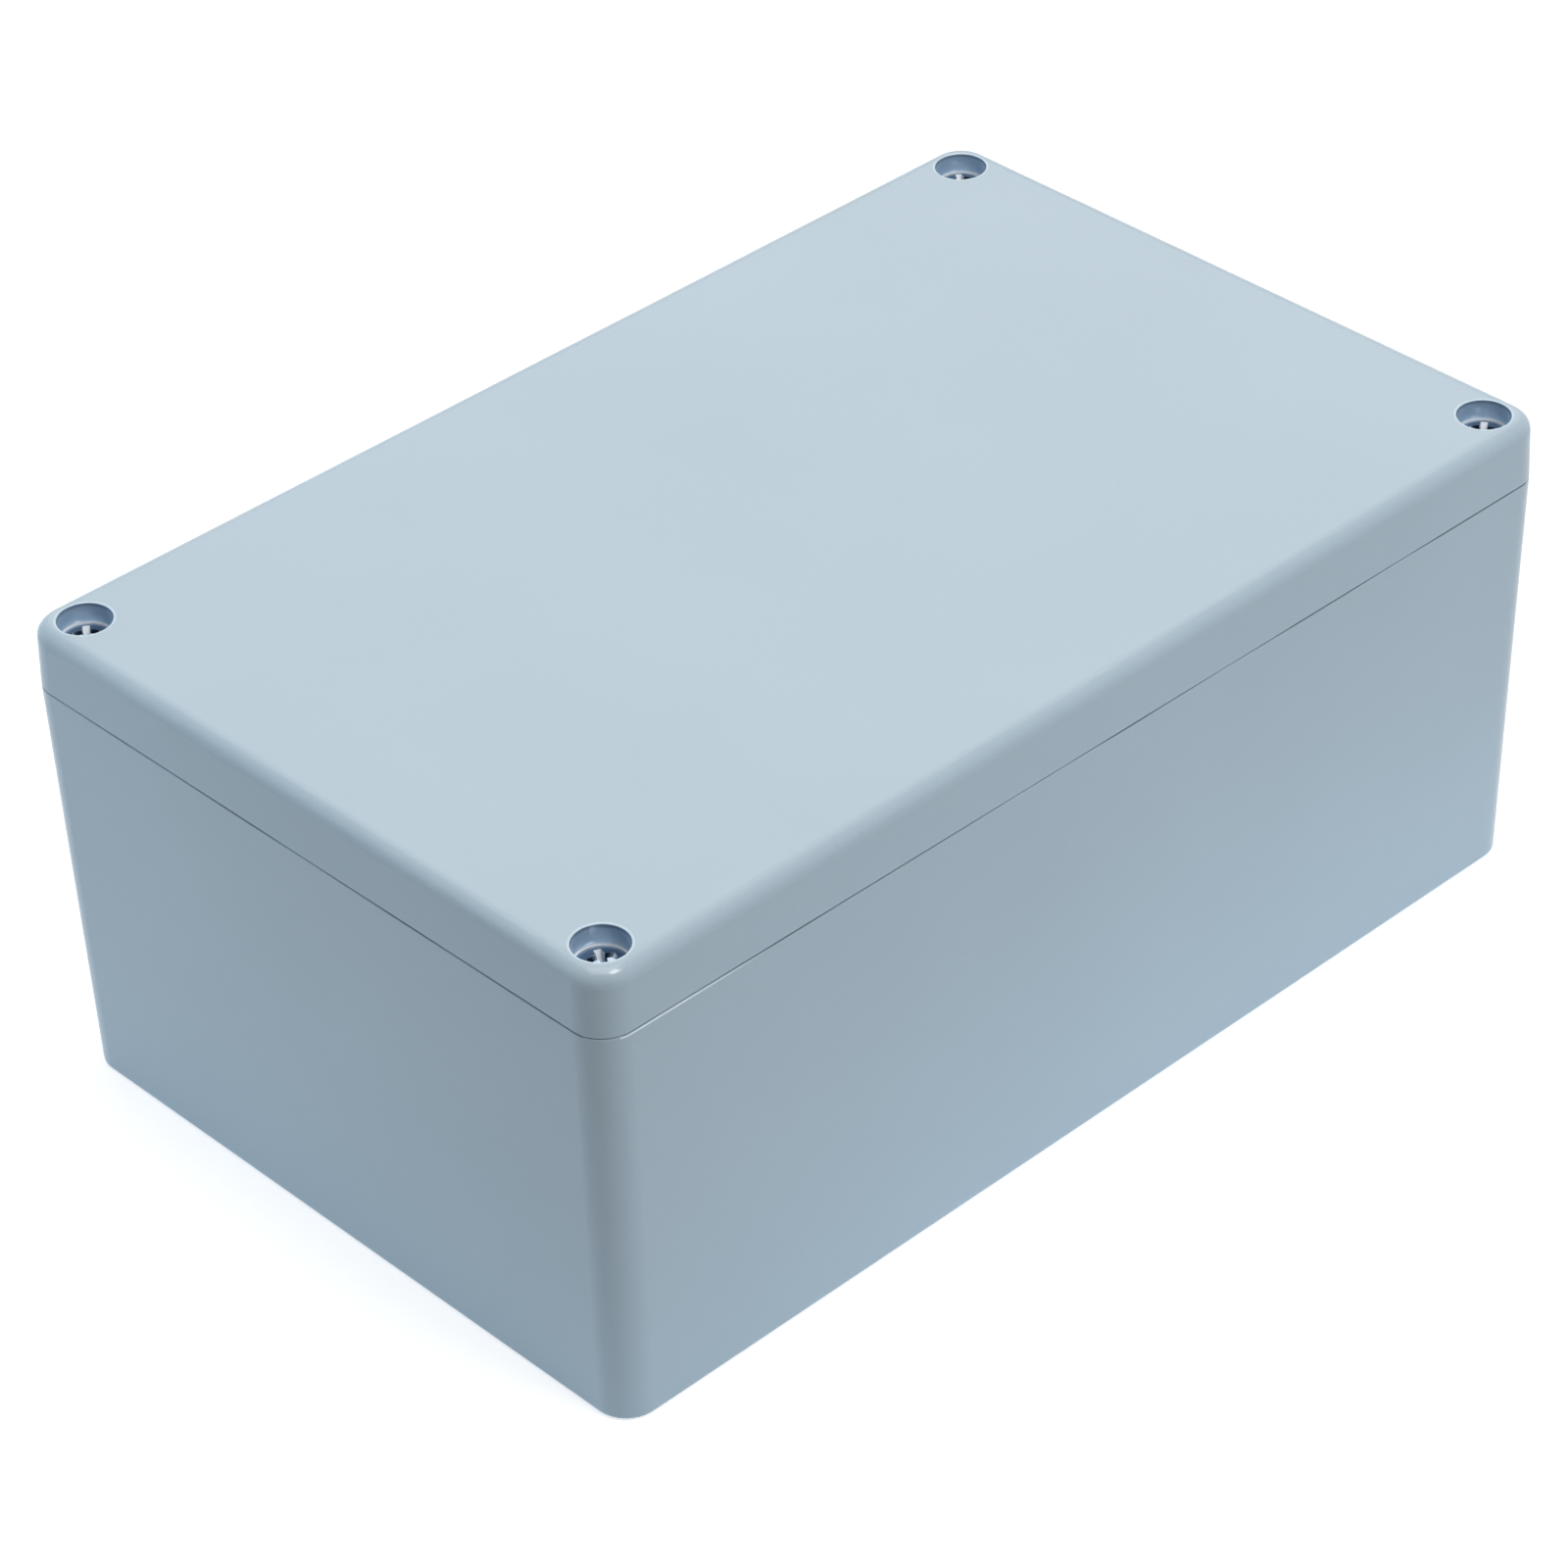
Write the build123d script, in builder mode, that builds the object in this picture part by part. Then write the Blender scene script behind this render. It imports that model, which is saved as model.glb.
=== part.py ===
from build123d import *
from math import radians, tan
import os

# A sealed die-cast aluminium project box with a screwed lid, in millimetres.
# The origin is the centre of the underside: +X along the length, +Y across
# the width, +Z up through the lid.

# Outside of the box, widest at the seam between base and lid
box_length = 188.0
box_width = 120.0
box_height = 78.0
lid_height = 10.2
corner_radius = 5.3
draft_angle = 1.2
top_edge_radius = 2.4
foot_edge_radius = 0.8
seam_edge_radius = 0.3

# Walls
wall = 3.2
floor_thickness = 3.2
lid_plate = 3.0
cavity_floor_radius = 1.5
recess_roof_radius = 1.2

# Corner pillars of the base, reaching in from the tongue's outer face
pillar_count = 4
pillar_length = 12.5
pillar_width = 24.0

# Sealing rim: a tongue on the base presses the gasket into a groove in the lid
land_width = 1.7
tongue_height = 2.2
tongue_chamfer = 0.3
groove_width = 3.2
groove_depth = 5.0
groove_inner_wall = 1.6
groove_clearance = 0.15
gasket_clearance = 0.05
gasket_chamfer = 0.4
rim_step_round = 3.6
rim_tip_round = 5.4
least_round = 0.5

# Lid screws, M4 x 16 with a raised countersunk head and a cross recess
screw_length = 16.0
screw_thread_diameter = 4.0
screw_thread_length = 8.8
screw_tip_chamfer = 0.6
screw_shank_diameter = 3.55
screw_head_diameter = 7.5
screw_head_rim = 0.25
screw_dome_height = 1.0
screw_head_sink = 3.2
recess_span = 4.3
recess_slot = 1.1
recess_depth = 2.3
recess_floor_span = 1.5
recess_floor_slot = 0.7

# Holes in the lid for those screws, just clear of its rounded top edge
countersink_angle = 90.0
well_diameter = 8.0
well_edge_radius = 0.2
well_margin = 0.2
seat_clearance = 0.05
lid_hole_diameter = 4.5

# Tapped holes in the base for those screws
thread_clearance = 0.05
tapped_spare_depth = 5.0
tapped_mouth_chamfer = 0.4

# Wall-fixing holes, down through the corner pillars
fixing_inset_x = 7.5
fixing_inset_y = 18.0
fixing_hole_diameter = 4.5
fixing_well_diameter = 8.0
fixing_seat_thickness = 6.0

# Tapped bosses on the floor for a mounting plate
boss_inset_x = 26.0
boss_inset_y = 22.0
boss_diameter = 9.0
boss_height = 6.0
boss_foot_radius = 1.0
boss_hole_diameter = 4.0
boss_hole_depth = 7.0

# Heights and offsets that follow from the sizes above
seam_z = box_height - lid_height
tongue_z = seam_z + tongue_height
groove_z = seam_z + groove_depth
recess_z = box_height - lid_plate
boss_z = floor_thickness + boss_height
head_z = box_height - screw_head_sink
well_floor_z = head_z - screw_head_rim + seat_clearance
tapped_depth = screw_length + tapped_spare_depth - (head_z - seam_z)
countersink_slope = tan(radians(countersink_angle / 2))
seat_radius = screw_head_diameter / 2 + seat_clearance * (1 + countersink_slope)
thread_hole_radius = screw_thread_diameter / 2 + thread_clearance
groove_outer = land_width - groove_clearance
groove_inner = groove_outer + groove_width
screw_inset = top_edge_radius + well_margin + well_diameter / 2
screw_spacing_x = box_length - 2 * screw_inset
screw_spacing_y = box_width - 2 * screw_inset
fixing_spacing_x = box_length - 2 * fixing_inset_x
fixing_spacing_y = box_width - 2 * fixing_inset_y
boss_spacing_x = box_length - 2 * boss_inset_x
boss_spacing_y = box_width - 2 * boss_inset_y


def draft_over(height):
    """How far a drafted wall moves in over a height."""
    return height * tan(radians(draft_angle))


def outside(shrink):
    """The outside outline, drawn in by shrink on every side."""
    with BuildSketch(mode=Mode.PRIVATE) as outline:
        RectangleRounded(box_length - 2 * shrink, box_width - 2 * shrink, corner_radius)
    return outline.sketch


def rim(inset):
    """The sealing rim's outline: set in from the seam and stepped round the corner pillars."""
    deeper = inset - land_width
    tip_round = max(rim_tip_round - deeper, least_round)
    step_round = min(rim_step_round + deeper, pillar_length - land_width - tip_round - least_round)
    with BuildSketch(mode=Mode.PRIVATE) as outline:
        Rectangle(box_length - 2 * inset, box_width - 2 * (pillar_width + deeper))
        Rectangle(box_length - 2 * (pillar_length + deeper), box_width - 2 * inset)
        steps = outline.vertices().sort_by_distance((0, 0))[:pillar_count]
        fillet(steps, step_round)
        tips = outline.vertices().sort_by_distance((0, 0))[-2 * pillar_count :]
        fillet(tips, tip_round)
    return outline.sketch


os.makedirs("parts", exist_ok=True)

# Base: drafted walls, corner pillars with their holes, sealing tongue and floor bosses
with BuildPart() as base:
    with BuildSketch(Plane.XY):
        add(outside(draft_over(seam_z)))
    with BuildSketch(Plane.XY.offset(seam_z)):
        add(outside(0))
    loft(ruled=True)
    fillet(base.edges().group_by(Axis.Z)[0], foot_edge_radius)
    fillet(base.edges().group_by(Axis.Z)[-1], seam_edge_radius)

    with BuildSketch(Plane.XY.offset(seam_z)):
        add(rim(land_width))
    extrude(amount=tongue_height)
    chamfer(base.edges().group_by(Axis.Z)[-1], tongue_chamfer)

    with BuildSketch(Plane.XY.offset(floor_thickness)):
        add(rim(wall + draft_over(tongue_z - floor_thickness)))
    with BuildSketch(Plane.XY.offset(tongue_z)):
        add(rim(wall))
    loft(ruled=True, mode=Mode.SUBTRACT)
    cavity_floor = base.faces().filter_by(Axis.Z).group_by(Axis.Z)[1]
    fillet(cavity_floor.edges(), cavity_floor_radius)

    with BuildSketch(Plane.XY.offset(floor_thickness)):
        with GridLocations(boss_spacing_x, boss_spacing_y, 2, 2):
            Circle(boss_diameter / 2)
    extrude(amount=boss_height)
    boss_feet = base.edges().filter_by(GeomType.CIRCLE).filter_by_position(
        Axis.Z, floor_thickness, floor_thickness
    )
    fillet(boss_feet, boss_foot_radius)
    with Locations(Plane.XY.offset(boss_z)):
        with GridLocations(boss_spacing_x, boss_spacing_y, 2, 2):
            Hole(boss_hole_diameter / 2, depth=boss_hole_depth)

    with Locations(Plane.XY.offset(seam_z)):
        with GridLocations(screw_spacing_x, screw_spacing_y, 2, 2):
            CounterSinkHole(
                radius=thread_hole_radius,
                counter_sink_radius=thread_hole_radius + tapped_mouth_chamfer,
                depth=tapped_depth,
                counter_sink_angle=countersink_angle,
            )
        with GridLocations(fixing_spacing_x, fixing_spacing_y, 2, 2):
            CounterBoreHole(
                radius=fixing_hole_diameter / 2,
                counter_bore_radius=fixing_well_diameter / 2,
                counter_bore_depth=seam_z - fixing_seat_thickness,
            )
base.part.label = "base"
export_step(base.part, "parts/base.step")

# Lid: a drafted cap with a gasket groove, a recess under its plate and sunk screw holes
with BuildPart() as lid:
    with BuildSketch(Plane.XY.offset(seam_z)):
        add(outside(0))
    with BuildSketch(Plane.XY.offset(box_height)):
        add(outside(draft_over(lid_height)))
    loft(ruled=True)
    fillet(lid.edges().group_by(Axis.Z)[-1], top_edge_radius)
    fillet(lid.edges().group_by(Axis.Z)[0], seam_edge_radius)

    with BuildSketch(Plane.XY.offset(seam_z)):
        add(rim(groove_inner + groove_inner_wall))
    extrude(amount=recess_z - seam_z, mode=Mode.SUBTRACT)
    recess_roof = lid.faces().filter_by(Axis.Z).group_by(Axis.Z)[-2]
    fillet(recess_roof.edges(), recess_roof_radius)

    with BuildSketch(Plane.XY.offset(seam_z)):
        add(rim(groove_outer))
        add(rim(groove_inner), mode=Mode.SUBTRACT)
    extrude(amount=groove_depth, mode=Mode.SUBTRACT)

    with Locations(Plane.XY.offset(box_height)):
        with GridLocations(screw_spacing_x, screw_spacing_y, 2, 2):
            Hole(well_diameter / 2, depth=box_height - well_floor_z)
    well_rims = lid.faces().sort_by(Axis.Z)[-1].inner_wires()
    fillet(well_rims.edges(), well_edge_radius)
    with Locations(Plane.XY.offset(well_floor_z)):
        with GridLocations(screw_spacing_x, screw_spacing_y, 2, 2):
            CounterSinkHole(
                radius=lid_hole_diameter / 2,
                counter_sink_radius=seat_radius,
                depth=well_floor_z - seam_z,
                counter_sink_angle=countersink_angle,
            )
lid.part.label = "lid"
export_step(lid.part, "parts/lid.step")

# Gasket: one rubber ring in the lid's groove, resting on the tongue
with BuildPart() as gasket:
    with BuildSketch(Plane.XY.offset(tongue_z)):
        add(rim(groove_outer + gasket_clearance))
        add(rim(groove_inner - gasket_clearance), mode=Mode.SUBTRACT)
    extrude(amount=groove_z - tongue_z)
    chamfer(gasket.edges().group_by(Axis.Z)[-1], gasket_chamfer)
gasket.part.label = "gasket"
export_step(gasket.part, "parts/gasket.step")

# Lid screw, drawn with the rim of its head on the XY plane
head_radius = screw_head_diameter / 2
shank_radius = screw_shank_diameter / 2
thread_radius = screw_thread_diameter / 2
thread_start = screw_thread_length - screw_length
head_foot = -screw_head_rim - (head_radius - shank_radius) / countersink_slope
dome_radius = (head_radius**2 + screw_dome_height**2) / (2 * screw_dome_height)
with BuildPart() as screw:
    with BuildSketch(Plane.XZ):
        with BuildLine():
            Line((0, screw_dome_height), (0, -screw_length))
            Polyline(
                (0, -screw_length),
                (thread_radius - screw_tip_chamfer, -screw_length),
                (thread_radius, -screw_length + screw_tip_chamfer),
                (thread_radius, thread_start),
                (shank_radius, thread_start + thread_radius - shank_radius),
                (shank_radius, head_foot),
                (head_radius, -screw_head_rim),
                (head_radius, 0),
            )
            RadiusArc((head_radius, 0), (0, screw_dome_height), -dome_radius)
        make_face()
    revolve(axis=Axis.Z)
    with BuildSketch(Plane.XY.offset(screw_dome_height)):
        Rectangle(recess_span, recess_slot)
        Rectangle(recess_slot, recess_span)
    with BuildSketch(Plane.XY.offset(screw_dome_height - recess_depth)):
        Rectangle(recess_floor_span, recess_floor_slot)
        Rectangle(recess_floor_slot, recess_floor_span)
    loft(ruled=True, mode=Mode.SUBTRACT)

# The four lid screws, one in each corner
for end, side_x in (("left", -1), ("right", 1)):
    for face, side_y in (("front", -1), ("back", 1)):
        with BuildPart() as lid_screw:
            with Locations((side_x * screw_spacing_x / 2, side_y * screw_spacing_y / 2, head_z)):
                add(screw.part)
        lid_screw.part.label = f"lid_screw_{face}_{end}"
        export_step(lid_screw.part, f"parts/lid_screw_{face}_{end}.step")
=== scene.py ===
import math

import bmesh
import bpy
from mathutils import Matrix, Vector


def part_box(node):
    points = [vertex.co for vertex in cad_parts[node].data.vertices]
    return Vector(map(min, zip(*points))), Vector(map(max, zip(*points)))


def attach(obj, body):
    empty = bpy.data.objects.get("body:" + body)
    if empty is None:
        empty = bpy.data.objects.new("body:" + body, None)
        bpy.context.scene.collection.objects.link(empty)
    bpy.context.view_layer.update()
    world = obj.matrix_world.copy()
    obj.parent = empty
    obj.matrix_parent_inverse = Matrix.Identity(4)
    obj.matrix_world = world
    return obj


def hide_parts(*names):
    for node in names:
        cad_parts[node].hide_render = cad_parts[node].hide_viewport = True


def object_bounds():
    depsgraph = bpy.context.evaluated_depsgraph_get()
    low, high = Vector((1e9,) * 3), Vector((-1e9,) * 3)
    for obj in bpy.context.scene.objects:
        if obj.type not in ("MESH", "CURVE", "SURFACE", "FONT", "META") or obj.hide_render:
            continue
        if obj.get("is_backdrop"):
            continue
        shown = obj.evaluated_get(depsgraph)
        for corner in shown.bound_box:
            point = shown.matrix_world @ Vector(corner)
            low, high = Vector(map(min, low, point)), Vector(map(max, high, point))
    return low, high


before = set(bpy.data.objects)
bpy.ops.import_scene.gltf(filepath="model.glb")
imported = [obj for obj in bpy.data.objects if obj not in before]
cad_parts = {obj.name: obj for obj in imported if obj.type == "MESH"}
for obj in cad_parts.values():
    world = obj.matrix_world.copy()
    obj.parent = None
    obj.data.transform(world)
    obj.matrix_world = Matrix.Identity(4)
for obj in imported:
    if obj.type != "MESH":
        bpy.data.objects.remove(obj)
cad_low, cad_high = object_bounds()

MM = 0.001

# Lid screws, in millimetres. Heights count from the plane of the head's rim.
SCREW_LENGTH = 16.0
SCREW_THREAD_LENGTH = 8.8
SCREW_PITCH = 0.7
SCREW_THREAD_RADIUS = 2.0
SCREW_ROOT_RADIUS = 1.57
SCREW_SHANK_RADIUS = 1.775
SCREW_TIP_CHAMFER = 0.6
SCREW_HEAD_RADIUS = 3.75
SCREW_HEAD_RIM = 0.25
SCREW_HEAD_SINK = 3.2
SCREW_HEAD_LAND = 0.3
SCREW_RIM_ROUND = 0.08
SCREW_DOME_HEIGHT = 1.0
SCREW_NECK_OUT = 0.1
SCREW_NECK_DOWN = 0.15
SCREW_SEGMENTS = 72
SCREW_DOME_RINGS = 14
SCREW_RINGS_PER_PITCH = 12
SCREW_SHARP_ANGLE = 32

# Where the extra ring at the rim's upper and lower edge lies, as a share of their rounding
RIM_SHARE_ABOVE = 0.3
RIM_SHARE_BELOW = 0.6

# The thread's flanks: a triangle wave is stretched and lowered, then cut off at root and crest
THREAD_STRETCH = 1.35
THREAD_LOWER = 0.15

# Cross recess of the lid screws, in millimetres. Its tip is a little longer and narrower
# than its floor's slot is wide, and the cutter stands above the head.
RECESS_SPAN = 4.3
RECESS_SLOT = 1.1
RECESS_DEPTH = 2.3
RECESS_FLOOR_SPAN = 1.5
RECESS_FLOOR_SLOT = 0.7
RECESS_EDGE_BREAK = 0.09
RECESS_TIP_DEPTH = 0.25
RECESS_TIP_CHANGE = 0.3
CUTTER_ABOVE = 0.5

# How far each screw's recess is turned, in degrees
SCREW_TURNS = {
    "lid_screw_front_left": -24.0,
    "lid_screw_front_right": -56.0,
    "lid_screw_back_left": -36.0,
    "lid_screw_back_right": -34.0,
}

# Tapped holes, four of each placed evenly about the middle, in millimetres:
# x and y of the axis, the radius that the thread shows in, and the lowest point
LID_SCREW_HOLE = (87.4, 53.4, 2.5, 40.0)
BOSS_HOLE = (68.0, 38.0, 2.05, 1.0)

# Paint. A noise is its features per metre and its detail. A range is what gives none and
# all of an effect. Width and reliefs are in millimetres.
PAINT_DARK = (0.374, 0.497, 0.598)
PAINT_LIGHT = (0.390, 0.517, 0.621)
PAINT_SPECK = (0.43, 0.55, 0.65)
# The pale edge colour is a painted highlight on the edges and fillets
PAINT_EDGE_HIGHLIGHT = (0.70, 0.79, 0.86)
BARE_ALUMINIUM = (0.71, 0.72, 0.73)
CLOUD_NOISE = (22.0, 2.0)
CLOUD_RANGE = (0.3, 0.7)
PEEL_NOISE = (1500.0, 2.0)
GRAIN_NOISE = (5200.0, 1.0)
SPECK_RANGE = (0.45, 0.75)
SPECK_SHARE = 0.3
PAINT_HIGHLIGHT_WIDTH = 0.5
PAINT_HIGHLIGHT_RANGE = (0.86, 0.995)
PAINT_HIGHLIGHT_SHARE = 0.55
PAINT_ROUGHNESS = (0.36, 0.46)
PAINT_ROUGH_RANGE = (0.6, 1.4)
PAINT_RELIEF = 0.0115
GRAIN_SHARE = 0.35
THREAD_RELIEF = 0.7
BARE_SMOOTHER = 0.1
COAT_WEIGHT = 0.8
COAT_ROUGHNESS = 0.17

# Screw wells in the lid: colours, then lengths in millimetres. The well's inside and its lip
# have painted shade, and the seat and the rim painted highlights. The wall and the rim's width
# count outwards from the well's radius, the lip downwards from the rim, and the seat's
# height upwards from the screw's rim. A pair is where a colour is full and where it ends.
PAINT_WELL_SHADE = (0.34, 0.48, 0.63)
PAINT_LIP_SHADE = (0.09, 0.14, 0.23)
PAINT_SEAT_HIGHLIGHT = (0.86, 0.91, 0.96)
PAINT_RIM_HIGHLIGHT = (0.52, 0.67, 0.79)
WELL_RADIUS = 4.0
WELL_WALL = (0.02, 0.06)
WELL_RIM_WIDTH = (0.25, 0.45)
WELL_RIM_DEPTH = 0.25
WELL_RIM_FADE = 0.1
WELL_LIP = (0.1, 0.45)
WELL_LIP_SHADE_SHARE = 0.6
WELL_SEAT_HEIGHT = 0.25
WELL_LOW_Z = 70.0
WELL_RIM_Z = cad_high[2] - WELL_RIM_DEPTH * MM
SCREW_RIM_Z = cad_high[2] - SCREW_HEAD_SINK * MM

# Painted shade in the groove between base and lid, and a painted highlight on a stretch of the
# base's front edge: colours, then lengths in millimetres. The highlight band's lower and upper
# fades count down from the seam.
PAINT_SEAM_SHADE = (0.10, 0.16, 0.23)
PAINT_GLINT = (0.86, 0.96, 1.0)
SEAM_Z = 67.8
SEAM_DEPTH = 0.3
SEAM_DARK = 0.1
SEAM_CLEAR = 0.24
SEAM_NOISE = (45.0, 2.0)
SEAM_NOISE_RANGE = (0.38, 0.62)
SEAM_SHARE = (0.15, 0.75)
GLINT_BELOW = (0.46, 0.36)
GLINT_ABOVE = (0.2, 0.14)
GLINT_START = -80.0
GLINT_END = -64.0
GLINT_SHARE = 0.9

# Steel of the screws. The crown, slot and root colours are painted shade, the crown's blue
# also a painted reflection of the well, and the edge colour is a painted highlight. A facing
# is how far the surface looks upwards, from 0 to 1, and the recess's low end counts down from
# the plane of the head's rim. Lengths in millimetres.
STEEL_DARK = (0.70, 0.74, 0.78)
STEEL_LIGHT = (0.88, 0.91, 0.94)
STEEL_CROWN_SHADE = (0.30, 0.375, 0.47)
STEEL_SLOT_SHADE = (0.20, 0.26, 0.34)
STEEL_HIGHLIGHT = (0.84, 0.91, 0.98)
STEEL_BODY = (0.40, 0.41, 0.42)
STEEL_ROOT_SHADE = (0.11, 0.11, 0.12)
STAIN_NOISE = (420.0, 3.0)
STAIN_RANGE = (0.35, 0.7)
CROWN_FACING = (0.7, 0.8)
STEEP_FACING = (0.2, 0.35)
SLOPED_FACING = 0.7
RECESS_LOW = 1.4
UNDER_RIM_GAP = 0.05
ROOT_MARGIN = 0.02
STEEL_HIGHLIGHT_WIDTH = 0.2
STEEL_HIGHLIGHT_RANGE = (0.7, 0.98)
STEEL_HIGHLIGHT_SHARE = 0.6
STEEL_ROUGHNESS = (0.14, 0.26)
STEEL_ROUGH_RANGE = (0.3, 0.7)
STEEL_RELIEF = 0.01
STEEL_BUMP = 0.25
RECESS_END_METALLIC = 0.25
TURNING_MARKS = {"Scale": 900.0, "Distortion": 1.5, "Detail": 2.0}
TURNING_SHARE = 0.4

# Rubber of the gasket, with the roughness of the dust's noise as its third value
RUBBER_DARK = (0.012, 0.012, 0.013)
RUBBER_DUST = (0.045, 0.044, 0.042)
DUST_NOISE = (160.0, 4.0, 0.65)
DUST_RANGE = (0.4, 0.8)
RUBBER_NOISE = (3500.0, 2.0)
RUBBER_ROUGHNESS = (0.62, 0.82)
RUBBER_ROUGH_RANGE = (0.3, 0.7)
RUBBER_RELIEF = 0.03
RUBBER_BUMP = 0.6

# Floor and backdrop. Shown glow is for the camera and reflections, and table glow is the
# light that the pale table throws back on the box. Distances are in metres, the drop in
# millimetres.
FLOOR_COLOUR = (0.57, 0.59, 0.61)
FLOOR_ROUGHNESS = 0.9
FLOOR_HALF = 3.0
FLOOR_DROP = 0.05
SHOWN_COLOUR = (1.0, 1.0, 1.0)
SHOWN_GLOW_NEAR = 0.65
SHOWN_GLOW_FAR = 1.0
SHOWN_NEAR = 0.25
SHOWN_FAR = 1.2
TABLE_COLOUR = (0.87, 0.94, 0.99)
TABLE_CENTRE = (0.035, 0.0, 0.0)
TABLE_GLOW = 0.6
TABLE_NEAR = 0.08
TABLE_FAR = 0.26
WORLD_SHOWN = 1.0
WORLD_LIGHT = 0.0

# Lamps: azimuth and elevation in degrees, distance, width and height in metres, watts,
# colour, and whether the lamp shows in reflections
WARM = (1.0, 0.927, 0.865)
MILD = (1.0, 0.96, 0.93)
CLEAR = (0.92, 0.98, 1.0)
COOL = (0.62, 0.85, 1.0)
LAMPS = {
    "overhead": (-43.0, 85.5, 1.5, 1.3, 1.3, 15.9, WARM, True),
    "key": (12.0, 60.0, 1.5, 0.45, 0.45, 7.7, MILD, True),
    "back_light": (137.0, 42.0, 1.3, 1.3, 1.1, 5.0, WARM, True),
    "right_fill": (35.0, 12.0, 1.6, 1.0, 0.8, 3.6, CLEAR, False),
    "left_fill": (-145.0, 15.0, 0.6, 0.45, 0.4, 1.22, COOL, False),
}

# Camera: angles in degrees, distance and shifts in metres, lens and sensor in millimetres
CAMERA_AZIMUTH = -42.92
CAMERA_ELEVATION = 35.95
CAMERA_ROLL = -1.956
CAMERA_DISTANCE = 0.8175
CAMERA_RIGHT = -0.00433
CAMERA_UP = 0.02462
CAMERA_LENS = 124.09
CAMERA_SENSOR = 36.0
CAMERA_CLIP_START = 0.05

# Nodes: a Mix node's sockets for colours, which share their names with its other sockets,
# the Bevel node's samples, and half a turn of the thread's wave
MIX_COLOUR_A = 6
MIX_COLOUR_B = 7
MIX_COLOUR_RESULT = 2
EDGE_SAMPLES = 6
HALF_TURN = 0.5


def new_material(name):
    """A node material: its tree and its shader."""
    material = bpy.data.materials.new(name)
    material.use_nodes = True
    return material, material.node_tree, material.node_tree.nodes["Principled BSDF"]


def node(tree, kind, links=None, **settings):
    """A shader node with its settings, its sockets set to values or joined to other sockets."""
    made = tree.nodes.new(kind)
    for key, value in settings.items():
        setattr(made, key, value)
    for key, value in (links or {}).items():
        if isinstance(value, bpy.types.NodeSocket):
            tree.links.new(value, made.inputs[key])
        else:
            made.inputs[key].default_value = value
    return made


def maths(tree, operation, a, b=0.0, clamp=False):
    """One Math node's output."""
    links = {0: a, 1: b}
    return node(tree, "ShaderNodeMath", links, operation=operation, use_clamp=clamp).outputs[0]


def times(tree, a, b):
    """The product of two values."""
    return maths(tree, "MULTIPLY", a, b)


def noise(tree, place, scale, detail, roughness=0.5):
    """Noise from 0 to 1 with features of about 1 / scale metres."""
    links = {"Vector": place, "Scale": scale, "Detail": detail, "Roughness": roughness}
    return node(tree, "ShaderNodeTexNoise", links).outputs["Fac"]


def spread(tree, value, low, high, start=0.0, end=1.0):
    """Value from start to end, mapped to the range low to high."""
    links = {"Value": value, "From Min": start, "From Max": end, "To Min": low, "To Max": high}
    return node(tree, "ShaderNodeMapRange", links).outputs["Result"]


def blend_colour(tree, share, a, b):
    """Colour a where share is 0, colour b where it is 1."""
    made = node(tree, "ShaderNodeMix", {"Factor": share}, data_type="RGBA")
    for index, value in ((MIX_COLOUR_A, a), (MIX_COLOUR_B, b)):
        if isinstance(value, bpy.types.NodeSocket):
            tree.links.new(value, made.inputs[index])
        else:
            made.inputs[index].default_value = (*value, 1.0)
    return made.outputs[MIX_COLOUR_RESULT]


def edge_share(tree, radius, start, end):
    """How much a point is on an edge, from the turn of the normal within a radius."""
    bevel = node(tree, "ShaderNodeBevel", {"Radius": radius}, samples=EDGE_SAMPLES)
    links = {0: bevel.outputs[0], 1: node(tree, "ShaderNodeNewGeometry").outputs["Normal"]}
    turn = node(tree, "ShaderNodeVectorMath", links, operation="DOT_PRODUCT")
    return spread(tree, turn.outputs["Value"], 1.0, 0.0, start, end)


def add_bump(tree, shader, height, strength, distance):
    """Gives the shader a normal that follows the height."""
    links = {"Height": height, "Strength": strength, "Distance": distance}
    bump = node(tree, "ShaderNodeBump", links)
    tree.links.new(bump.outputs[0], shader.inputs["Normal"])


def about_axes(tree, place, hole):
    """Offsets x and y from the nearest of a hole's four axes, the distance to it, and z."""
    centre_x, centre_y = (v * MM for v in hole[:2])
    split = node(tree, "ShaderNodeSeparateXYZ", {0: place})
    x = maths(tree, "SUBTRACT", maths(tree, "ABSOLUTE", split.outputs[0]), centre_x)
    y = maths(tree, "SUBTRACT", maths(tree, "ABSOLUTE", split.outputs[1]), centre_y)
    squared = maths(tree, "ADD", times(tree, x, x), times(tree, y, y))
    return x, y, maths(tree, "SQRT", squared), split.outputs[2]


def hole_share(tree, place, hole):
    """1 inside a tapped hole of this kind, and a wave from 0 to 0.5 that follows its thread."""
    radius, lowest = (v * MM for v in hole[2:])
    x, y, away, z = about_axes(tree, place, hole)
    near = maths(tree, "LESS_THAN", away, radius)
    inside = times(tree, near, maths(tree, "GREATER_THAN", z, lowest))
    turns = maths(tree, "DIVIDE", maths(tree, "ARCTAN2", y, x), 2 * math.pi)
    pitches = maths(tree, "DIVIDE", z, SCREW_PITCH * MM)
    helix = maths(tree, "PINGPONG", maths(tree, "ADD", turns, pitches), HALF_TURN)
    return inside, helix


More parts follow.
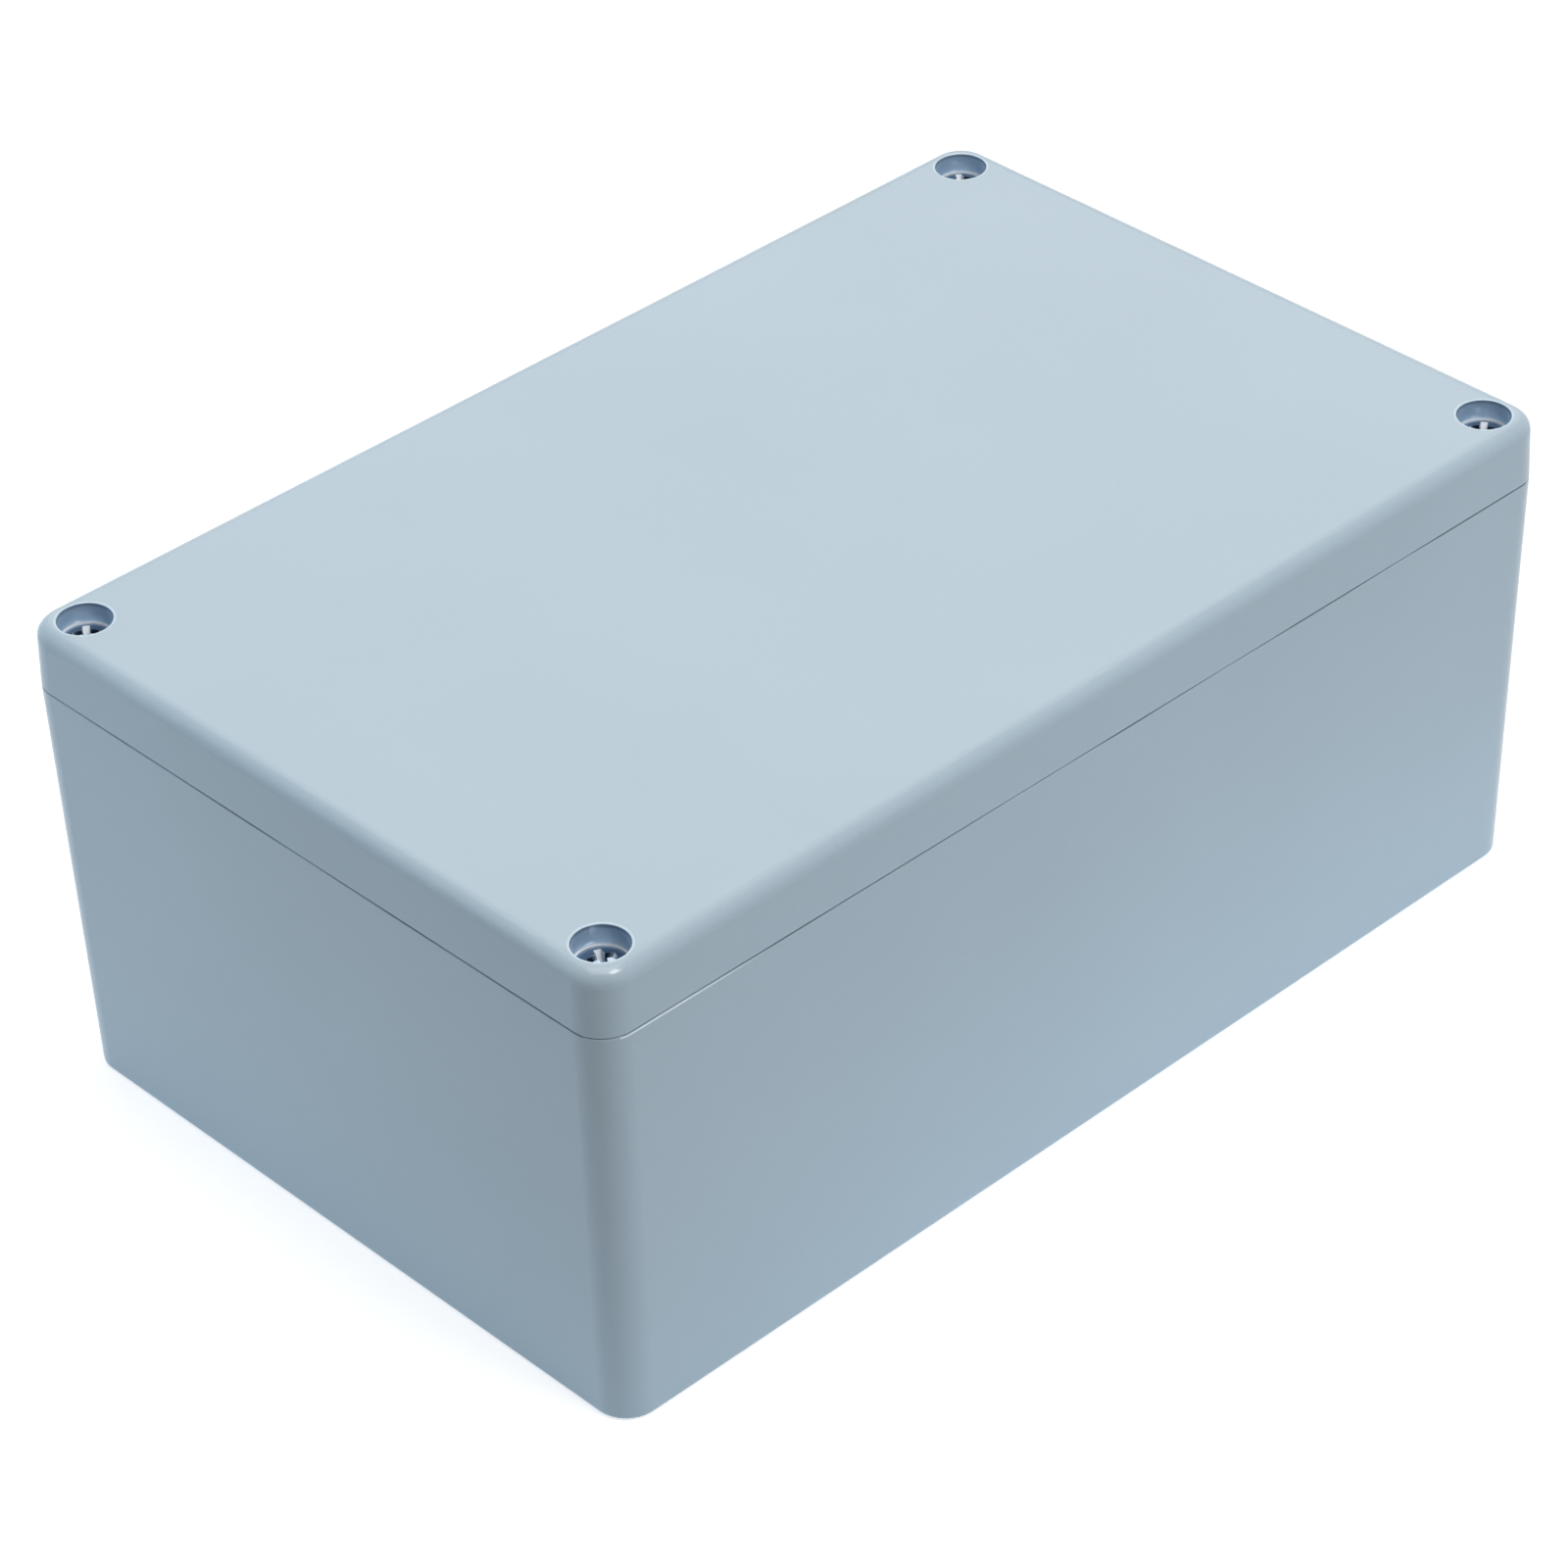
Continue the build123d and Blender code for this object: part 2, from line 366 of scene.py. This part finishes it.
def well_shares(tree, place):
    """How much a point takes the painted shade in a screw's well and on its lip, and the painted
    highlights on the seat and on the rim outside.
    """
    away, z = about_axes(tree, place, LID_SCREW_HOLE)[2:]
    wall_start, wall_end = ((WELL_RADIUS + v) * MM for v in WELL_WALL)
    rim_start, rim_end = ((WELL_RADIUS + v) * MM for v in WELL_RIM_WIDTH)
    near = spread(tree, away, 1.0, 0.0, wall_start, wall_end)
    inside = times(tree, near, maths(tree, "GREATER_THAN", z, WELL_LOW_Z * MM))
    above_plate = spread(tree, z, 0.0, 1.0, WELL_RIM_Z - WELL_RIM_FADE * MM, WELL_RIM_Z)
    outside = spread(tree, away, 1.0, 0.0, rim_start, rim_end)
    rim_highlight = times(tree, maths(tree, "SUBTRACT", outside, inside, clamp=True), above_plate)
    seat_highlight = spread(tree, z, 1.0, 0.0, SCREW_RIM_Z, SCREW_RIM_Z + WELL_SEAT_HEIGHT * MM)
    lip_top, lip_bottom = (WELL_RIM_Z - v * MM for v in WELL_LIP)
    lip_shade = spread(tree, z, 0.0, 1.0, lip_bottom, lip_top)
    return inside, times(tree, inside, lip_shade), times(tree, inside, seat_highlight), rim_highlight


def seam_shares(tree, place):
    """How much a point takes the painted shade in the groove of the seam, and the painted
    highlight on the stretch below it.
    """
    x, y, z = node(tree, "ShaderNodeSeparateXYZ", {0: place}).outputs
    depth = SEAM_DEPTH * MM
    off_x = maths(tree, "GREATER_THAN", maths(tree, "ABSOLUTE", x), cad_high[0] - depth)
    off_y = maths(tree, "GREATER_THAN", maths(tree, "ABSOLUTE", y), cad_high[1] - depth)
    outer = maths(tree, "MAXIMUM", off_x, off_y)
    away = maths(tree, "ABSOLUTE", maths(tree, "SUBTRACT", z, SEAM_Z * MM))
    groove = spread(tree, away, 1.0, 0.0, SEAM_DARK * MM, SEAM_CLEAR * MM)
    below = spread(tree, z, 0.0, 1.0, *((SEAM_Z - v) * MM for v in GLINT_BELOW))
    above = spread(tree, z, 1.0, 0.0, *((SEAM_Z - v) * MM for v in GLINT_ABOVE))
    front = maths(tree, "LESS_THAN", y, cad_low[1] + depth)
    stretch = spread(tree, x, 1.0, 0.0, GLINT_START * MM, GLINT_END * MM)
    band = times(tree, times(tree, below, above), front)
    return times(tree, groove, outer), times(tree, band, stretch)


def painted_casting(name, holes, wells=False):
    """Blue-grey paint on a casting, with painted highlights on its edges, painted shade and
    highlights at the seam and in any wells, and bare metal and a thread in its tapped holes.
    """
    material, tree, shader = new_material(name)
    place = node(tree, "ShaderNodeTexCoord").outputs["Object"]
    cloud = noise(tree, place, *CLOUD_NOISE)
    peel = noise(tree, place, *PEEL_NOISE)
    grain = noise(tree, place, *GRAIN_NOISE)
    light = spread(tree, cloud, 0.0, 1.0, *CLOUD_RANGE)
    colour = blend_colour(tree, light, PAINT_DARK, PAINT_LIGHT)
    specks = spread(tree, grain, 0.0, SPECK_SHARE, *SPECK_RANGE)
    colour = blend_colour(tree, specks, colour, PAINT_SPECK)
    # Painted highlight: edges turn paler
    edge_highlight = edge_share(tree, PAINT_HIGHLIGHT_WIDTH * MM, *PAINT_HIGHLIGHT_RANGE)
    colour = blend_colour(tree, times(tree, edge_highlight, PAINT_HIGHLIGHT_SHARE), colour, PAINT_EDGE_HIGHLIGHT)
    if wells:
        # Painted shade in the wells and just under their rim, painted highlights on the seat and
        # around the rim
        inside, lip_shade, seat_highlight, rim_highlight = well_shares(tree, place)
        colour = blend_colour(tree, inside, colour, PAINT_WELL_SHADE)
        colour = blend_colour(tree, times(tree, lip_shade, WELL_LIP_SHADE_SHARE), colour, PAINT_LIP_SHADE)
        colour = blend_colour(tree, seat_highlight, colour, PAINT_SEAT_HIGHLIGHT)
        colour = blend_colour(tree, rim_highlight, colour, PAINT_RIM_HIGHLIGHT)
    # Painted shade in the seam's groove, made patchy by a noise, and a painted highlight on the
    # base's front edge
    groove, glint = seam_shares(tree, place)
    seam_shade_patches = spread(tree, noise(tree, place, *SEAM_NOISE), *SEAM_SHARE, *SEAM_NOISE_RANGE)
    colour = blend_colour(tree, times(tree, groove, seam_shade_patches), colour, PAINT_SEAM_SHADE)
    colour = blend_colour(tree, times(tree, glint, GLINT_SHARE), colour, PAINT_GLINT)
    uneven = maths(tree, "ADD", cloud, peel)
    rough = spread(tree, uneven, *PAINT_ROUGHNESS, *PAINT_ROUGH_RANGE)
    height = maths(tree, "ADD", peel, times(tree, grain, GRAIN_SHARE))
    relief = times(tree, height, PAINT_RELIEF * MM)
    bare = None
    for hole in holes:
        inside, helix = hole_share(tree, place, hole)
        bare = inside if bare is None else maths(tree, "MAXIMUM", bare, inside)
        thread = times(tree, times(tree, helix, inside), THREAD_RELIEF * MM)
        relief = maths(tree, "ADD", relief, thread)
    if bare is not None:
        colour = blend_colour(tree, bare, colour, BARE_ALUMINIUM)
        tree.links.new(bare, shader.inputs["Metallic"])
        rough = maths(tree, "SUBTRACT", rough, times(tree, bare, BARE_SMOOTHER))
    tree.links.new(colour, shader.inputs["Base Color"])
    tree.links.new(rough, shader.inputs["Roughness"])
    add_bump(tree, shader, relief, 1.0, 1.0)  # the relief is in metres already
    shader.inputs["Specular IOR Level"].default_value = 0.0
    shader.inputs["Coat Weight"].default_value = COAT_WEIGHT
    shader.inputs["Coat Roughness"].default_value = COAT_ROUGHNESS
    return material


def screw_steel(name):
    """Stainless steel with turning marks and tarnish and a darker shank, with painted shade on
    the crown, in the slots and in the thread's roots, and painted highlights on the recess's
    ends and on the edges.
    """
    material, tree, shader = new_material(name)
    place = node(tree, "ShaderNodeTexCoord").outputs["Object"]
    stain = noise(tree, place, *STAIN_NOISE)
    away, z = about_axes(tree, place, LID_SCREW_HOLE)[2:]
    normal = node(tree, "ShaderNodeNewGeometry").outputs["Normal"]
    upwards = node(tree, "ShaderNodeSeparateXYZ", {0: normal}).outputs[2]
    tilt = maths(tree, "ABSOLUTE", upwards)
    land = maths(tree, "GREATER_THAN", away, (SCREW_HEAD_RADIUS - SCREW_HEAD_LAND) * MM)
    facing_up = spread(tree, upwards, 0.0, 1.0, *CROWN_FACING)
    crown_shade = maths(tree, "SUBTRACT", facing_up, land, clamp=True)
    steep = spread(tree, tilt, 1.0, 0.0, *STEEP_FACING)
    near_axis = maths(tree, "LESS_THAN", away, RECESS_SPAN / 2 * MM)
    in_head = maths(tree, "GREATER_THAN", z, SCREW_RIM_Z - RECESS_LOW * MM)
    recess = times(tree, near_axis, in_head)
    slot = times(tree, recess, steep)
    sloped = maths(tree, "LESS_THAN", tilt, SLOPED_FACING)
    end_highlight = maths(tree, "SUBTRACT", times(tree, recess, sloped), steep, clamp=True)
    under_rim = SCREW_RIM_Z - (SCREW_HEAD_RIM + UNDER_RIM_GAP) * MM
    body = maths(tree, "SUBTRACT", maths(tree, "LESS_THAN", z, under_rim), recess, clamp=True)
    root_start = (SCREW_ROOT_RADIUS + ROOT_MARGIN) * MM
    root_end = (SCREW_SHANK_RADIUS - ROOT_MARGIN) * MM
    root_shade = times(tree, spread(tree, away, 1.0, 0.0, root_start, root_end), body)
    edge_highlight = edge_share(tree, STEEL_HIGHLIGHT_WIDTH * MM, *STEEL_HIGHLIGHT_RANGE)
    light = spread(tree, stain, 0.0, 1.0, *STAIN_RANGE)
    colour = blend_colour(tree, light, STEEL_DARK, STEEL_LIGHT)
    # Painted shade on the crown, in the slots and in the thread's roots, and painted highlights
    # on the recess's ends and on the edges
    colour = blend_colour(tree, crown_shade, colour, STEEL_CROWN_SHADE)
    colour = blend_colour(tree, slot, colour, STEEL_SLOT_SHADE)
    colour = blend_colour(tree, body, colour, STEEL_BODY)
    colour = blend_colour(tree, root_shade, colour, STEEL_ROOT_SHADE)
    colour = blend_colour(tree, end_highlight, colour, STEEL_HIGHLIGHT)
    colour = blend_colour(tree, times(tree, edge_highlight, STEEL_HIGHLIGHT_SHARE), colour, STEEL_HIGHLIGHT)
    tree.links.new(colour, shader.inputs["Base Color"])
    rough = spread(tree, stain, *STEEL_ROUGHNESS, *STEEL_ROUGH_RANGE)
    tree.links.new(rough, shader.inputs["Roughness"])
    links = {"Vector": place, **TURNING_MARKS}
    marks = node(tree, "ShaderNodeTexWave", links, bands_direction="Z").outputs["Fac"]
    height = maths(tree, "ADD", times(tree, marks, TURNING_SHARE), stain)
    add_bump(tree, shader, height, STEEL_BUMP, STEEL_RELIEF * MM)
    tree.links.new(spread(tree, end_highlight, 1.0, RECESS_END_METALLIC), shader.inputs["Metallic"])
    return material


def gasket_rubber(name):
    """Matt black rubber with a fine grain and pale dust."""
    material, tree, shader = new_material(name)
    place = node(tree, "ShaderNodeTexCoord").outputs["Object"]
    dust = spread(tree, noise(tree, place, *DUST_NOISE), 0.0, 1.0, *DUST_RANGE)
    grain = noise(tree, place, *RUBBER_NOISE)
    colour = blend_colour(tree, dust, RUBBER_DARK, RUBBER_DUST)
    tree.links.new(colour, shader.inputs["Base Color"])
    rough = spread(tree, grain, *RUBBER_ROUGHNESS, *RUBBER_ROUGH_RANGE)
    tree.links.new(rough, shader.inputs["Roughness"])
    add_bump(tree, shader, grain, RUBBER_BUMP, RUBBER_RELIEF * MM)
    return material


def dress(name, material):
    """Gives a CAD node this material all over."""
    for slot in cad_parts[name].material_slots:
        slot.material = material


base_paint = painted_casting("base_paint", (LID_SCREW_HOLE, BOSS_HOLE))
lid_paint = painted_casting("lid_paint", (), wells=True)
steel = screw_steel("screw_steel")
rubber = gasket_rubber("gasket_rubber")
dress("base", base_paint)
dress("lid", lid_paint)
dress("gasket", rubber)


def thread_radius(z, turn):
    """Radius of the thread at height z and at a share of a turn, run out at both ends."""
    top = SCREW_THREAD_LENGTH - SCREW_LENGTH
    wave = abs(((z / SCREW_PITCH - turn) % 1.0) * 2.0 - 1.0)
    ridge = min(max(wave * THREAD_STRETCH - THREAD_LOWER, 0.0), 1.0)
    radius = SCREW_ROOT_RADIUS + (SCREW_THREAD_RADIUS - SCREW_ROOT_RADIUS) * ridge
    run_out = min(max((top - z) / SCREW_PITCH, 0.0), 1.0)
    radius = SCREW_SHANK_RADIUS + (radius - SCREW_SHANK_RADIUS) * run_out
    tip = SCREW_THREAD_RADIUS - SCREW_TIP_CHAMFER + (z + SCREW_LENGTH)
    return min(radius, tip)


def screw_rows():
    """Rings of the turned screw from its crown to its tip, each a list of (radius, z)."""
    rows = []
    dome_edge = SCREW_HEAD_RADIUS - SCREW_HEAD_LAND
    dome = (dome_edge**2 + SCREW_DOME_HEIGHT**2) / (2 * SCREW_DOME_HEIGHT)
    for step in range(1, SCREW_DOME_RINGS + 1):
        r = dome_edge * step / SCREW_DOME_RINGS
        z = SCREW_DOME_HEIGHT - dome + math.sqrt(dome**2 - r**2)
        rows.append([(r, z)] * SCREW_SEGMENTS)
    above = RIM_SHARE_ABOVE * SCREW_RIM_ROUND
    below = RIM_SHARE_BELOW * SCREW_RIM_ROUND
    cone_foot = -SCREW_HEAD_RIM - SCREW_HEAD_RADIUS + SCREW_SHANK_RADIUS
    for r, z in (
        (SCREW_HEAD_RADIUS - SCREW_RIM_ROUND, 0.0),
        (SCREW_HEAD_RADIUS - above, -above),
        (SCREW_HEAD_RADIUS, -SCREW_RIM_ROUND),
        (SCREW_HEAD_RADIUS, SCREW_RIM_ROUND - SCREW_HEAD_RIM),
        (SCREW_HEAD_RADIUS - below, -SCREW_HEAD_RIM - below),
        (SCREW_SHANK_RADIUS + SCREW_NECK_OUT, cone_foot + SCREW_NECK_OUT),
        (SCREW_SHANK_RADIUS, cone_foot - SCREW_NECK_DOWN),
    ):
        rows.append([(r, z)] * SCREW_SEGMENTS)
    count = int(SCREW_THREAD_LENGTH / SCREW_PITCH * SCREW_RINGS_PER_PITCH)
    for step in range(count + 1):
        z = SCREW_THREAD_LENGTH - SCREW_LENGTH - SCREW_THREAD_LENGTH * step / count
        shares = (s / SCREW_SEGMENTS for s in range(SCREW_SEGMENTS))
        rows.append([(thread_radius(z, share), z) for share in shares])
    return rows


def cross_ring(mesh, span, slot, z):
    """One ring of the recess cutter: a cross with its inner corners cut across."""
    half_span = span / 2
    half_slot = slot / 2
    inner = half_slot + RECESS_EDGE_BREAK
    ring = []
    for quarter in range(4):
        turn = Matrix.Rotation(math.radians(90 * quarter), 3, "Z")
        for x, y in (
            (half_span, -half_slot),
            (half_span, half_slot),
            (inner, half_slot),
            (half_slot, inner),
        ):
            ring.append(mesh.verts.new(turn @ Vector((x, y, z))))
    return ring


def skin(mesh, rings):
    """Quads between rings of equal length, and a cap on each end."""
    for upper, lower in zip(rings, rings[1:]):
        for i in range(len(upper)):
            j = (i + 1) % len(upper)
            mesh.faces.new((upper[i], lower[i], lower[j], upper[j]))
    mesh.faces.new(rings[0])
    mesh.faces.new(list(reversed(rings[-1])))
    bmesh.ops.recalc_face_normals(mesh, faces=mesh.faces)


def add_object(name, data):
    """A new object in the scene with this data."""
    made = bpy.data.objects.new(name, data)
    bpy.context.scene.collection.objects.link(made)
    return made


def object_from(mesh, name):
    """An object in the scene from a bmesh, which is freed."""
    data = bpy.data.meshes.new(name)
    mesh.to_mesh(data)
    mesh.free()
    return add_object(name, data)


def screw_body():
    """The turned screw without its recess, in millimetres."""
    body = bmesh.new()
    rings = []
    for row in screw_rows():
        ring = []
        for s, (r, z) in enumerate(row):
            angle = 2 * math.pi * s / SCREW_SEGMENTS
            ring.append(body.verts.new((r * math.cos(angle), r * math.sin(angle), z)))
        rings.append(ring)
    skin(body, rings)
    return object_from(body, "screw_body")


def recess_cutter():
    """The cross that is cut from the head, tapered down to its tip."""
    cutter = bmesh.new()
    deep = SCREW_DOME_HEIGHT - RECESS_DEPTH
    grow = CUTTER_ABOVE / RECESS_DEPTH
    top_span = RECESS_SPAN + (RECESS_SPAN - RECESS_FLOOR_SPAN) * grow
    top_slot = RECESS_SLOT + (RECESS_SLOT - RECESS_FLOOR_SLOT) * grow
    tip_span = RECESS_FLOOR_SLOT + RECESS_TIP_CHANGE
    tip_slot = RECESS_FLOOR_SLOT - RECESS_TIP_CHANGE
    rings = [
        cross_ring(cutter, top_span, top_slot, SCREW_DOME_HEIGHT + CUTTER_ABOVE),
        cross_ring(cutter, RECESS_FLOOR_SPAN, RECESS_FLOOR_SLOT, deep),
        cross_ring(cutter, tip_span, tip_slot, deep - RECESS_TIP_DEPTH),
    ]
    skin(cutter, rings)
    return object_from(cutter, "recess_cutter")


def turned_screw():
    """The screw's body with its cross recess as one mesh, in millimetres."""
    screw = screw_body()
    blade = recess_cutter()
    cut = screw.modifiers.new("recess", "BOOLEAN")
    cut.operation = "DIFFERENCE"
    cut.object = blade
    cut.solver = "EXACT"
    bpy.context.view_layer.update()
    depsgraph = bpy.context.evaluated_depsgraph_get()
    data = bpy.data.meshes.new_from_object(screw.evaluated_get(depsgraph))
    bpy.data.objects.remove(blade)
    bpy.data.objects.remove(screw)
    return data


screw_mesh = turned_screw()
for cad_name, turn in SCREW_TURNS.items():
    low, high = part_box(cad_name)
    data = screw_mesh.copy()
    rim_z = low[2] + SCREW_LENGTH * MM
    centre = Vector(((low[0] + high[0]) / 2, (low[1] + high[1]) / 2, rim_z))
    turned = Matrix.Rotation(math.radians(turn), 4, "Z")
    data.transform(Matrix.Translation(centre) @ turned @ Matrix.Scale(MM, 4))
    data.shade_smooth()
    data.set_sharp_from_angle(angle=math.radians(SCREW_SHARP_ANGLE))
    data.materials.clear()
    data.materials.append(steel)
    piece = add_object("threaded_" + cad_name, data)
    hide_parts(cad_name)
    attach(piece, cad_name)
bpy.data.meshes.remove(screw_mesh)


def background_share(tree):
    """1 for rays from the camera and for reflections, 0 for light that falls on things."""
    path = node(tree, "ShaderNodeLightPath").outputs
    seen = maths(tree, "MAXIMUM", path["Is Camera Ray"], path["Is Glossy Ray"])
    return maths(tree, "MAXIMUM", seen, path["Is Transmission Ray"])


def white_floor():
    """A pale floor that shows near white and keeps the box's shadow."""
    level = cad_low[2] - FLOOR_DROP * MM
    signs = ((-1, -1), (1, -1), (1, 1), (-1, 1))
    corners = [(x * FLOOR_HALF, y * FLOOR_HALF, level) for x, y in signs]
    data = bpy.data.meshes.new("floor")
    data.from_pydata(corners, [], [(0, 1, 2, 3)])
    floor = add_object("floor", data)
    material, tree, shader = new_material("floor_white")
    shader.inputs["Base Color"].default_value = (*FLOOR_COLOUR, 1.0)
    shader.inputs["Roughness"].default_value = FLOOR_ROUGHNESS
    shader.inputs["Specular IOR Level"].default_value = 0.0
    links = {0: node(tree, "ShaderNodeTexCoord").outputs["Object"], 1: TABLE_CENTRE}
    reach = node(tree, "ShaderNodeVectorMath", links, operation="DISTANCE").outputs["Value"]
    thrown = spread(tree, reach, TABLE_GLOW, 0.0, TABLE_NEAR, TABLE_FAR)
    shown = spread(tree, reach, SHOWN_GLOW_NEAR, SHOWN_GLOW_FAR, SHOWN_NEAR, SHOWN_FAR)
    seen = background_share(tree)
    links = {"Factor": seen, "A": thrown, "B": shown}
    glow = node(tree, "ShaderNodeMix", links).outputs["Result"]
    colour = blend_colour(tree, seen, TABLE_COLOUR, SHOWN_COLOUR)
    tree.links.new(colour, shader.inputs["Emission Color"])
    tree.links.new(glow, shader.inputs["Emission Strength"])
    data.materials.append(material)
    floor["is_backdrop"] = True


def white_world():
    """White behind the box for the camera and reflections, and no light on the box."""
    world = bpy.data.worlds.new("studio")
    bpy.context.scene.world = world
    world.use_nodes = True
    tree = world.node_tree
    light = tree.nodes["Background"]
    light.inputs["Color"].default_value = (*SHOWN_COLOUR, 1.0)
    strength = spread(tree, background_share(tree), WORLD_LIGHT, WORLD_SHOWN)
    tree.links.new(strength, light.inputs["Strength"])


def direction(azimuth, elevation):
    """The way from the box to a place at these angles, in degrees."""
    a, e = math.radians(azimuth), math.radians(elevation)
    return Vector((math.sin(a) * math.cos(e), -math.cos(a) * math.cos(e), math.sin(e)))


def softbox(name, azimuth, elevation, distance, width, height, power, colour, reflected):
    """A rectangular lamp that faces the middle of the box."""
    away = direction(azimuth, elevation)
    lamp = bpy.data.lights.new(name, "AREA")
    lamp.shape = "RECTANGLE"
    lamp.size = width
    lamp.size_y = height
    lamp.energy = power
    lamp.color = colour
    holder = add_object(name, lamp)
    holder.location = (cad_low + cad_high) / 2 + away * distance
    holder.rotation_mode = "QUATERNION"
    holder.rotation_quaternion = (-away).to_track_quat("-Z", "Y")
    holder.visible_glossy = reflected


def photo_camera():
    """The camera, at the photograph's angle."""
    back = direction(CAMERA_AZIMUTH, CAMERA_ELEVATION)
    level_right = (-back).cross(Vector((0, 0, 1))).normalized()
    level_up = level_right.cross(-back)
    roll = math.radians(CAMERA_ROLL)
    right = math.cos(roll) * level_right + math.sin(roll) * level_up
    up = math.cos(roll) * level_up - math.sin(roll) * level_right
    data = bpy.data.cameras.new("camera")
    data.lens = CAMERA_LENS
    data.sensor_width = CAMERA_SENSOR
    data.clip_start = CAMERA_CLIP_START
    camera = add_object("camera", data)
    place = back * CAMERA_DISTANCE + right * CAMERA_RIGHT + up * CAMERA_UP
    turned = Matrix((right, up, back)).transposed().to_4x4()
    camera.matrix_world = Matrix.Translation(place) @ turned
    bpy.context.scene.camera = camera


white_floor()
white_world()
for lamp_name, lamp_values in LAMPS.items():
    softbox(lamp_name, *lamp_values)
photo_camera()
bpy.context.scene.view_settings.view_transform = "Standard"

low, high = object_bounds()
